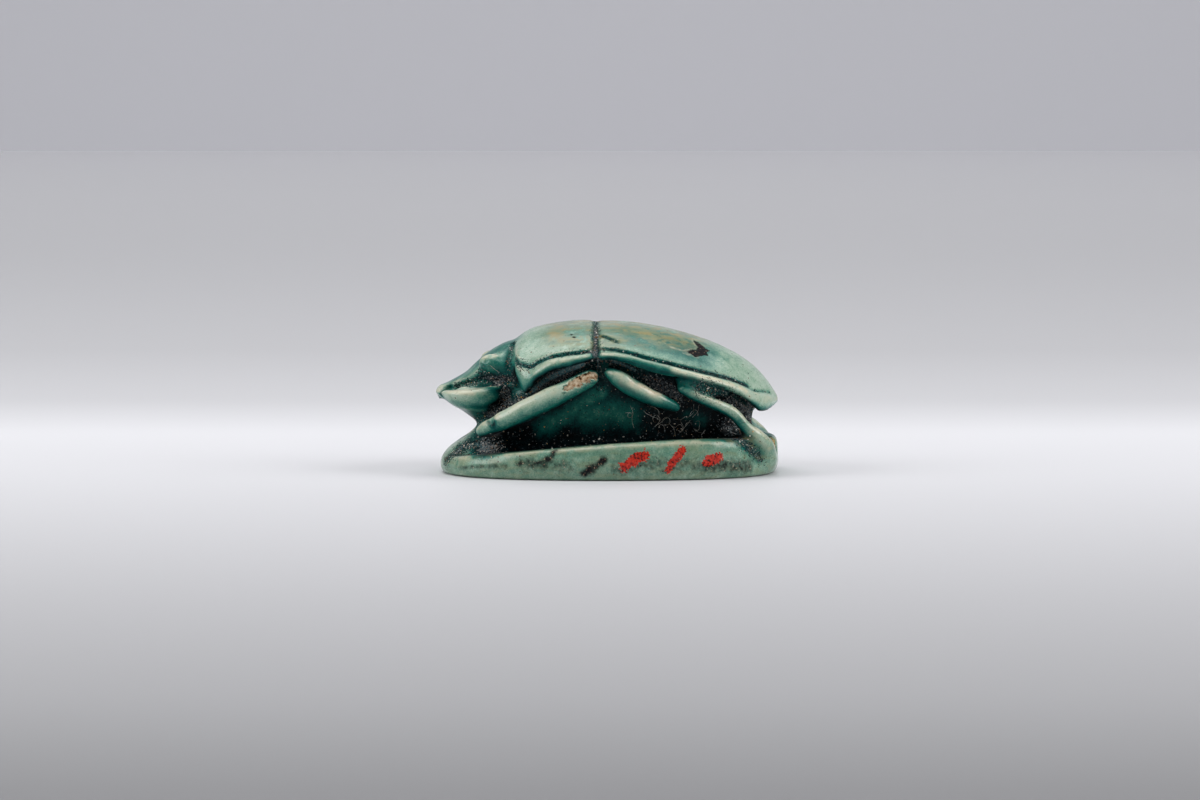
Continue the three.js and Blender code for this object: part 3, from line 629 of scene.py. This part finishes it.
# Black soil has stained the scar, the pits and the near side of the base.
soiled = np.maximum(scar, np.minimum(1.5 * pitted, 1))
for amount, width, stops in [
    (0.62, 0.18, [(-8.56, -3.97, 0.52), (-7.85, -4.72, 0.64), (-6.69, -5.55, 0.76), (-5.8, -6.0, 0.8)]),
    (0.72, 0.38, [(-5.0, -6.31, 1.0), (-4.4, -6.48, 0.95), (-3.5, -6.67, 1.0)]),
    (0.9, 0.26, [(-3.6, -6.65, 1.15), (-3.15, -6.7, 1.4), (-3.0, -6.6, 1.75)]),
    (0.5, 0.55, [(-4.6, -6.4, 0.85), (-3.4, -6.7, 0.9), (-2.2, -6.85, 0.85)]),
    (1.0, 0.3, [(-1.3, -6.96, 0.42), (-1.0, -6.96, 0.62), (-0.75, -6.97, 0.82)]),
    (0.95, 0.28, [(-0.75, -6.97, 0.82), (-0.4, -6.97, 1.02), (-0.2, -6.95, 1.2)]),
    (0.52, 0.6, [(0.6, -6.96, 0.8), (2.0, -6.9, 1.0), (3.9, -6.66, 0.9), (5.6, -6.16, 0.9)]),
    (0.72, 0.5, [(5.6, -6.2, 0.8), (7.0, -5.5, 0.8), (8.1, -4.6, 0.65)]),
]:
    soiled = np.maximum(soiled, amount * line(stops, width, "near")[0])

# Ochre earth clings to the broken rear and to the tail above it.
tail_earth = line([(9.5, -0.7, 4.2), (9.1, -1.2, 4.0), (8.6, -1.6, 3.9)], 0.35, "near")[0]
ochre = np.maximum(rear_break, 0.5 * tail_earth)

# Three ragged dabs of red paint on the near side of the base.
daubed = np.zeros(len(points))
for width, stops in [
    (0.34, [(1.0, -6.95, 0.85), (1.6, -6.93, 1.25), (2.1, -6.9, 1.5)]),
    (0.26, [(3.5, -6.7, 0.65), (3.8, -6.65, 1.2), (4.3, -6.55, 1.75)]),
    (0.36, [(5.7, -6.1, 1.0), (6.3, -5.88, 1.3)]),
]:
    daubed = np.maximum(daubed, line(stops, width, "near")[0])

# The back has weathered to olive, and the near side of the base a little.
on_top = ease(z, 7.1, 7.8) * ease(x, -4.6, -2.8) * ease(7.4 - x, 0, 2.5) * ease(facing[:, 2], 0.5, 0.75)
olive = np.maximum(on_top * (0.95 + 0.4 * rough(1.1, 13)), 0.35 * (1 - beetle) * ease(y, 0.5, -0.5))
olive *= 1 - np.minimum(1.4 * seam, 1)
sheen = 1 - np.maximum(undercut, 0.9 * ease(glaze_and_shade, 0.25, 0.6))

for name, values in {
    "glaze_and_shade": glaze_and_shade, "wear_and_highlight": wear_and_highlight, "dusty": dusty, "bare": chipped, "soiled": soiled, "ochre": ochre,
    "daubed": daubed, "olive": olive, "sheen": sheen,
}.items():
    layer = stone.data.attributes.new(name, "FLOAT", "POINT")
    layer.data.foreach_set("value", values.astype(np.float32))

stone.data.transform(Matrix.Scale(MM, 4))
stone.data.update()
bpy.ops.object.shade_smooth()
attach(stone, "root")
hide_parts("scarab")


def shading(name):
    """A new material, its node tree and its shader."""
    material = bpy.data.materials.new(name)
    material.use_nodes = True
    return material, material.node_tree, material.node_tree.nodes["Principled BSDF"]


def node(kind, **inputs):
    """A node in the present tree, with some of its inputs set or joined, by their names."""
    made = tree.nodes.new(kind)
    for name, value in inputs.items():
        socket = made.inputs[name.replace("_", " ")]
        if isinstance(value, bpy.types.NodeSocket):
            tree.links.new(value, socket)
        else:
            socket.default_value = value
    return made


def field(name):
    """The values painted on the points under a name."""
    made = node("ShaderNodeAttribute")
    made.attribute_name = name
    return made.outputs["Fac"]


def math_of(kind, a, b, clamp=False):
    """A sum of two values: ADD, SUBTRACT, MULTIPLY or MAXIMUM."""
    made = node("ShaderNodeMath")
    made.operation = kind
    made.use_clamp = clamp
    for socket, value in zip(made.inputs, (a, b)):
        if isinstance(value, bpy.types.NodeSocket):
            tree.links.new(value, socket)
        else:
            socket.default_value = value
    return made.outputs[0]


def swing(cloudy, amount):
    """A cloud's rise and fall about its middle, made so many times as strong."""
    return math_of("MULTIPLY", math_of("SUBTRACT", cloudy, 0.5), amount)


def between(value, low, high):
    """A smooth step from 0 at low to 1 at high."""
    made = node("ShaderNodeMapRange")
    made.interpolation_type = "SMOOTHSTEP"
    tree.links.new(value, made.inputs["Value"])
    made.inputs["From Min"].default_value = low
    made.inputs["From Max"].default_value = high
    return made.outputs["Result"]


def blend(factor, a, b):
    """Colour a where the factor is 0 and colour b where it is 1."""
    made = node("ShaderNodeMix")
    made.data_type = "RGBA"
    factor_input, a_input, b_input, colour_output = 0, 6, 7, 2
    for i, value in ((factor_input, factor), (a_input, a), (b_input, b)):
        if isinstance(value, bpy.types.NodeSocket):
            tree.links.new(value, made.inputs[i])
        else:
            made.inputs[i].default_value = (*value, 1)
    return made.outputs[colour_output]


def ramp(factor, stops):
    """A run of colours, each at its place between 0 and 1."""
    made = node("ShaderNodeValToRGB", Fac=factor)
    elements = made.color_ramp.elements
    while len(elements) < len(stops):
        elements.new(0.5)
    for element, (at, colour) in zip(elements, stops):
        element.position = at
        element.color = (*colour, 1)
    return made.outputs["Color"]


def scaled(*times):
    """Places on the piece, so many times as far apart: 1000 each way gives millimetres."""
    place = node("ShaderNodeTexCoord").outputs["Object"]
    return node("ShaderNodeMapping", Vector=place, Scale=times).outputs["Vector"]


def cloud(scale, detail, where):
    """Cloudy noise of 0 to 1, so many clouds to each length of the places."""
    return node("ShaderNodeTexNoise", Vector=where, Scale=scale, Detail=detail).outputs["Fac"]


glaze, tree, shader = shading("glaze")
in_mm = scaled(1000, 1000, 1000)
wide, mid, fine = [cloud(scale, 3, in_mm) for scale in (0.45, 2.2, 11.0)]
streaky = cloud(1.0, 4, scaled(1600, 1600, 3600))

# Green glaze, palest where its painted shade is least and near black in the shaded hollow, with olive
# and brown streaks on the back, and cream edges that are partly wear and partly painted highlight.
shade = math_of("ADD", field("glaze_and_shade"), swing(mid, 0.35))
shade = math_of("ADD", shade, swing(fine, 0.34))
colour = ramp(shade, [
    (0.0, (0.36, 0.47, 0.37)), (0.1, (0.25, 0.38, 0.28)), (0.24, (0.1, 0.25, 0.18)),
    (0.42, (0.009, 0.13, 0.1)), (0.62, (0.0008, 0.06, 0.054)), (0.8, (0.001, 0.01, 0.012)),
    (0.93, (0.001, 0.0015, 0.002)),
])
brown = ramp(cloud(1.0, 4, scaled(900, 1500, 3600)), [
    (0.38, (0.12, 0.19, 0.12)), (0.5, (0.18, 0.23, 0.13)), (0.6, (0.25, 0.23, 0.1)),
])
weathered = math_of("MULTIPLY", field("olive"), between(math_of("ADD", wide, mid), 0.72, 1.06))
colour = blend(weathered, colour, brown)
cream = (0.66, 0.58, 0.42)
wear_and_highlight_showing = math_of("MULTIPLY", field("wear_and_highlight"), between(mid, 0.25, 0.6), clamp=True)
colour = blend(wear_and_highlight_showing, colour, cream)

# Dust: small cells, each with a grain's colour and a moment at which it appears.
cells = node("ShaderNodeTexVoronoi", Vector=in_mm, Scale=15.0)
of_cell = node("ShaderNodeSeparateColor", Color=cells.outputs["Color"])
grain, threshold = of_cell.outputs["Red"], of_cell.outputs["Green"]
grit = ramp(grain, [
    (0.0, (0.004, 0.008, 0.01)), (0.5, (0.008, 0.025, 0.028)), (0.75, (0.03, 0.065, 0.065)),
    (0.9, (0.16, 0.2, 0.18)), (0.95, (0.14, 0.06, 0.03)), (0.98, (0.55, 0.53, 0.47)),
])
# In the deepest painted shade the dust is painted paler, standing in for light that reaches it.
grit_painted_lit = ramp(grain, [
    (0.0, (0.02, 0.032, 0.037)), (0.4, (0.075, 0.097, 0.105)), (0.75, (0.16, 0.185, 0.19)),
    (0.9, (0.33, 0.33, 0.31)), (0.95, (0.2, 0.09, 0.04)), (0.985, (0.6, 0.56, 0.5)),
])
grit = blend(between(field("glaze_and_shade"), 0.76, 0.9), grit, grit_painted_lit)
# Thick dust in the gaps is painted paler still and teal, standing in for light that reaches the gap.
thick_grit_painted_lit = ramp(grain, [
    (0.0, (0.08, 0.2, 0.22)), (0.4, (0.17, 0.37, 0.4)), (0.75, (0.32, 0.5, 0.52)),
    (0.9, (0.5, 0.58, 0.56)), (0.95, (0.25, 0.12, 0.06)), (0.985, (0.7, 0.66, 0.6)),
])
grit = blend(between(field("dusty"), 1.0, 1.4), grit, thick_grit_painted_lit)
dust = between(math_of("SUBTRACT", field("dusty"), threshold), -0.06, 0.06)
colour = blend(math_of("MULTIPLY", dust, 0.9), colour, grit)

# Bare stone in the chip, and a few dark pores.
raw = between(math_of("ADD", field("bare"), swing(mid, 0.5)), 0.4, 0.55)
broken = ramp(cloud(3.0, 6, in_mm), [
    (0.36, (0.035, 0.018, 0.01)), (0.42, (0.3, 0.17, 0.08)), (0.48, (0.46, 0.34, 0.22)),
    (0.66, (0.66, 0.55, 0.4)),
])
colour = blend(raw, colour, broken)
pores = node("ShaderNodeTexVoronoi", Vector=in_mm, Scale=3.2)
rare = node("ShaderNodeSeparateColor", Color=pores.outputs["Color"]).outputs["Red"]
pore_radius, pore_share = 0.2, 0.16
pore = math_of(
    "MULTIPLY",
    between(math_of("SUBTRACT", pore_radius, pores.outputs["Distance"]), 0.0, 0.08),
    between(math_of("SUBTRACT", pore_share, rare), 0.0, 0.01),
)
pore = math_of("MULTIPLY", pore, field("sheen"))
pore_colour = ramp(grain, [(0.3, (0.012, 0.02, 0.02)), (0.7, (0.12, 0.06, 0.03))])
colour = blend(math_of("MULTIPLY", pore, 0.85), colour, pore_colour)

# Ochre earth, black soil and red paint.
earth = between(math_of("ADD", field("ochre"), swing(fine, 0.5)), 0.35, 0.6)
colour = blend(earth, colour, ramp(fine, [
    (0.3, (0.08, 0.045, 0.015)), (0.5, (0.32, 0.24, 0.1)), (0.65, (0.5, 0.45, 0.3)),
]))
patches = node("ShaderNodeTexNoise", Vector=in_mm, Scale=3.5, Detail=6.0, Roughness=0.6)
patchy = between(patches.outputs["Fac"], 0.24, 0.76)
soil = math_of("SUBTRACT", math_of("MULTIPLY", field("soiled"), 1.6), math_of("MULTIPLY", patchy, 0.75))
soil = between(soil, -0.15, 1.15)
colour = blend(soil, colour, ramp(cloud(8.0, 3, in_mm), [
    (0.4, (0.008, 0.008, 0.01)), (0.6, (0.012, 0.01, 0.01)), (0.66, (0.12, 0.07, 0.045)),
    (0.72, (0.4, 0.3, 0.22)),
]))
ragged = math_of("ADD", swing(streaky, 1.3), swing(fine, 1.3))
ragged = math_of("MULTIPLY", ragged, between(field("daubed"), 0.02, 0.25))
paint = between(math_of("ADD", field("daubed"), ragged), 0.42, 0.52)
colour = blend(paint, colour, ramp(cloud(7.0, 4, in_mm), [
    (0.36, (0.02, 0.008, 0.006)), (0.42, (0.26, 0.01, 0.005)), (0.6, (0.55, 0.03, 0.012)),
]))
tree.links.new(colour, shader.inputs["Base Color"])

# Dust, earth and bare stone are matt, and the glaze has a thin gloss of its own.
dull = math_of("MAXIMUM", dust, math_of("MAXIMUM", raw, earth))
matt = node("ShaderNodeMapRange", Value=math_of("MAXIMUM", dull, math_of("MULTIPLY", soil, 0.5)))
matt.inputs["To Min"].default_value = 0.3
matt.inputs["To Max"].default_value = 0.85
tree.links.new(matt.outputs["Result"], shader.inputs["Roughness"])
shine = math_of("SUBTRACT", field("sheen"), math_of("MAXIMUM", dull, soil), clamp=True)
tree.links.new(math_of("MULTIPLY", shine, 0.8), shader.inputs["Coat Weight"])
shader.inputs["Coat Roughness"].default_value = 0.2
shader.inputs["Specular IOR Level"].default_value = 0.05
gritty = math_of("MULTIPLY", dull, cells.outputs["Distance"])
height = math_of("ADD", math_of("MULTIPLY", fine, 0.35), math_of("MULTIPLY", gritty, 2.0))
bump = node("ShaderNodeBump", Height=height, Strength=0.5, Distance=0.03 * MM)
tree.links.new(bump.outputs["Normal"], shader.inputs["Normal"])
stone.data.materials.append(glaze)

# ------------------------------------------------------------------ dust
# Grains of sand and earth lie in the hollows, as they were left when the amulet was dug up.
# Each is a few-sided crumb resting on the stone.
bpy.ops.object.select_all(action="DESELECT")
bpy.ops.mesh.primitive_ico_sphere_add(subdivisions=1, radius=1)
crumb = bpy.context.object
crumb_corners = np.array([v.co for v in crumb.data.vertices])
crumb_faces = np.array([tuple(face.vertices) for face in crumb.data.polygons])
crumb_size = len(crumb_corners)
whole_turn = 6.28
chance = np.random.RandomState(23)
count = 520
likely = (
    0.5 * undercut + ease(dusty, 0.2, 0.9)
    + 1.6 * line([(2.6, 4.0, 3.4), (4.4, 3.8, 2.9), (5.4, 3.6, 2.6)], 0.6)[0]
    + 2.0 * line([(-6.9, 2.1, 5.7), (-6.3, 2.4, 5.5), (-5.5, 2.7, 5.4), (-5.3, 3.0, 4.6)], 0.35)[0]
    + 1.5 * line([(-7.2, 1.7, 3.2), (-6.0, 2.6, 3.9), (-5.2, 3.0, 4.3)], 0.4)[0]
    + 2.0 * line([(7.5, 3.5, 2.5), (8.0, 4.4, 2.6), (8.7, 3.9, 2.5)], 0.4)[0]
) * (z > 0.4)
homes = chance.choice(len(points), count, p=likely / likely.sum())
corners, tones = [], []
for home in homes:
    size = 0.016 + 0.03 * chance.rand() ** 3
    stretch = size * (0.7 + 0.8 * chance.rand(3)) * np.where(chance.rand() < 0.12, (2.4, 1, 1), 1)
    turn = Matrix.Rotation(chance.rand() * whole_turn, 3, Vector(chance.normal(size=3)))
    shape = (crumb_corners * stretch * (0.8 + 0.4 * chance.rand(crumb_size, 1))) @ np.array(turn)
    corners.append(points[home] + facing[home] * size * 0.5 + shape)
    tones += [chance.rand()] * crumb_size
grains_mesh = bpy.data.meshes.new("dust_grains")
faces = np.concatenate([crumb_faces + crumb_size * i for i in range(count)])
grains_mesh.from_pydata((np.concatenate(corners) * MM).tolist(), [], faces.tolist())
layer = grains_mesh.attributes.new("tone", "FLOAT", "POINT")
layer.data.foreach_set("value", tones)
bpy.data.objects.remove(crumb)
grains = bpy.data.objects.new("dust_grains", grains_mesh)
bpy.context.scene.collection.objects.link(grains)
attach(grains, "root")

sand, tree, shader = shading("sand")
speck = cloud(18.0, 2.0, scaled(1000, 1000, 1000))
own = math_of("ADD", field("tone"), swing(speck, 0.3))
tree.links.new(ramp(own, [
    (0.1, (0.03, 0.025, 0.025)), (0.3, (0.16, 0.06, 0.02)), (0.45, (0.5, 0.28, 0.06)),
    (0.65, (0.55, 0.42, 0.26)), (0.85, (0.85, 0.8, 0.7)),
]), shader.inputs["Base Color"])
tree.links.new(between(speck, 0.2, 1.2), shader.inputs["Roughness"])
grains.data.materials.append(sand)

# ------------------------------------------------------------------ lint
# Fine pale fibres have caught in the hollow under the legs. Each is a thin thread that lies
# along the stone in loose bends.
threads = [
    [(2.86, -3.99, 3.57), (3.09, -3.92, 3.39), (2.91, -3.9, 3.04), (2.74, -3.92, 2.9)],
    [(4.75, -3.63, 3.25), (4.52, -3.67, 2.91), (4.24, -3.78, 2.63)],
    [(4.98, -3.6, 2.67), (5.33, -3.6, 2.44), (5.6, -3.6, 2.5)],
    [(5.62, -3.45, 2.66), (5.5, -3.54, 2.5), (5.39, -3.63, 2.33)],
    [(1.31, -4.15, 4.15), (1.54, -4.07, 3.74), (1.36, -3.99, 3.28), (1.54, -3.97, 2.82)],
    [(-6.75, -2.52, 6.35), (-6.52, -2.52, 6.14), (-6.17, -2.49, 5.94)],
]
loose_threads, step_length = 16, 0.17
for _ in range(loose_threads):
    at = np.array([3.9 + 0.9 * chance.normal(), -3.9, 3.1 + 0.3 * chance.normal()])
    heading, bend = chance.rand() * whole_turn, 0.5 * chance.normal()
    thread = []
    for _ in range(4 + chance.randint(5)):
        thread.append(tuple(at))
        heading += bend + 0.3 * chance.normal()
        at += np.array([math.cos(heading), 0, math.sin(heading)]) * step_length
    threads.append(thread)
bpy.ops.object.select_all(action="DESELECT")
for thread in threads:
    curve = bpy.data.curves.new("fibre", "CURVE")
    curve.dimensions = "3D"
    curve.bevel_depth = 0.009 * MM
    curve.bevel_resolution = 1
    curve.resolution_u = 4
    curve.use_fill_caps = True
    spline = curve.splines.new("NURBS")
    spline.points.add(len(thread) - 1)
    spline.order_u = 3
    spline.use_endpoint_u = True
    for knot, stop in zip(spline.points, thread):
        skin, outward = stone_skin.find_nearest(Vector(stop))[:2]
        knot.co = (*((skin + outward * (0.03 + 0.08 * chance.rand())) * MM), 1)
        knot.radius = 0.7 + 0.5 * chance.rand()
    fibre = bpy.data.objects.new("fibre", curve)
    bpy.context.scene.collection.objects.link(fibre)
    fibre.select_set(True)
    bpy.context.view_layer.objects.active = fibre
bpy.ops.object.convert(target="MESH")
bpy.ops.object.join()
lint = bpy.context.object
lint.name = "lint"
bpy.ops.object.shade_smooth()
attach(lint, "root")

fluff, tree, shader = shading("fluff")
speck = cloud(3.0, 2.0, scaled(1000, 1000, 1000))
tree.links.new(
    ramp(speck, [(0.35, (0.2, 0.17, 0.12)), (0.5, (0.42, 0.4, 0.34)), (0.65, (0.7, 0.7, 0.66))]),
    shader.inputs["Base Color"],
)
tree.links.new(between(speck, 0.0, 0.9), shader.inputs["Roughness"])
lint.data.materials.append(fluff)

# ------------------------------------------------------------------ the table and the light
# A pale sheet lies under the amulet and runs back to a pale wall. Four soft lights stand round
# it: one overhead, one at each side, and one that washes the wall.
backdrop_size = 3
wall_at = 0.9
bpy.ops.object.select_all(action="DESELECT")
bpy.ops.mesh.primitive_plane_add(size=backdrop_size, location=(0, 0, 0))
table = bpy.context.object
table.name = "table"
paper, tree, shader = shading("paper")
across = node("ShaderNodeSeparateXYZ", Vector=node("ShaderNodeTexCoord").outputs["Object"])
run = node("ShaderNodeMapRange", Value=across.outputs["Y"])
run.inputs["From Max"].default_value = wall_at

# The painted light and shade on the sheet at each distance behind the amulet: dark in front of it where the
# light falls off, pale round it.
sheet_light_falloff = [
    (-0.2, 0.16), (-0.129, 0.21), (-0.103, 0.33), (-0.069, 0.43), (-0.03, 0.56), (0.0, 0.66), (0.03, 0.73),
    (0.059, 0.57), (0.118, 0.52), (0.2, 0.55), (0.32, 0.585), (0.6, 0.665), (0.9, 0.78),
]
near_end = sheet_light_falloff[0][0]
run.inputs["From Min"].default_value = near_end
tint = ramp(run.outputs["Result"], [
    ((at - near_end) / (wall_at - near_end), (t, t, t * 1.04)) for at, t in sheet_light_falloff
])
tree.links.new(tint, shader.inputs["Base Color"])
shader.inputs["Roughness"].default_value = 0.55
table.data.materials.append(paper)

bpy.ops.object.select_all(action="DESELECT")
bpy.ops.mesh.primitive_plane_add(
    size=backdrop_size, location=(0, wall_at, 0), rotation=(math.radians(90), 0, 0)
)
wall = bpy.context.object
wall.name = "wall"
card, tree, shader = shading("card")
shader.inputs["Base Color"].default_value = (0.78, 0.78, 0.82, 1)
shader.inputs["Roughness"].default_value = 0.7
wall.data.materials.append(card)

world = bpy.data.worlds.new("studio")
bpy.context.scene.world = world
world.use_nodes = True
sky = world.node_tree.nodes["Background"]
sky.inputs["Color"].default_value = (0.95, 0.96, 1, 1)
sky.inputs["Strength"].default_value = 0.16


def softbox(name, place, target, width, height, power):
    """A rectangular soft light at a place, facing a target."""
    data = bpy.data.lights.new(name, "AREA")
    data.shape, data.size, data.size_y, data.energy = "RECTANGLE", width, height, power
    lamp = bpy.data.objects.new(name, data)
    bpy.context.scene.collection.objects.link(lamp)
    lamp.location = place
    lamp.rotation_euler = (Vector(target) - Vector(place)).to_track_quat("-Z", "Y").to_euler()


softbox("overhead", (-0.05, -0.04, 0.28), (0, 0, 0), 0.3, 0.16, 0.4)
softbox("left", (-0.28, -0.08, 0.16), (0, 0, 0.005), 0.2, 0.2, 0.56)
softbox("right", (0.28, -0.08, 0.16), (0, 0, 0.005), 0.2, 0.2, 0.74)
softbox("back", (0.0, 0.45, 0.6), (0, 0.6, 0), 0.9, 0.5, 2.6)
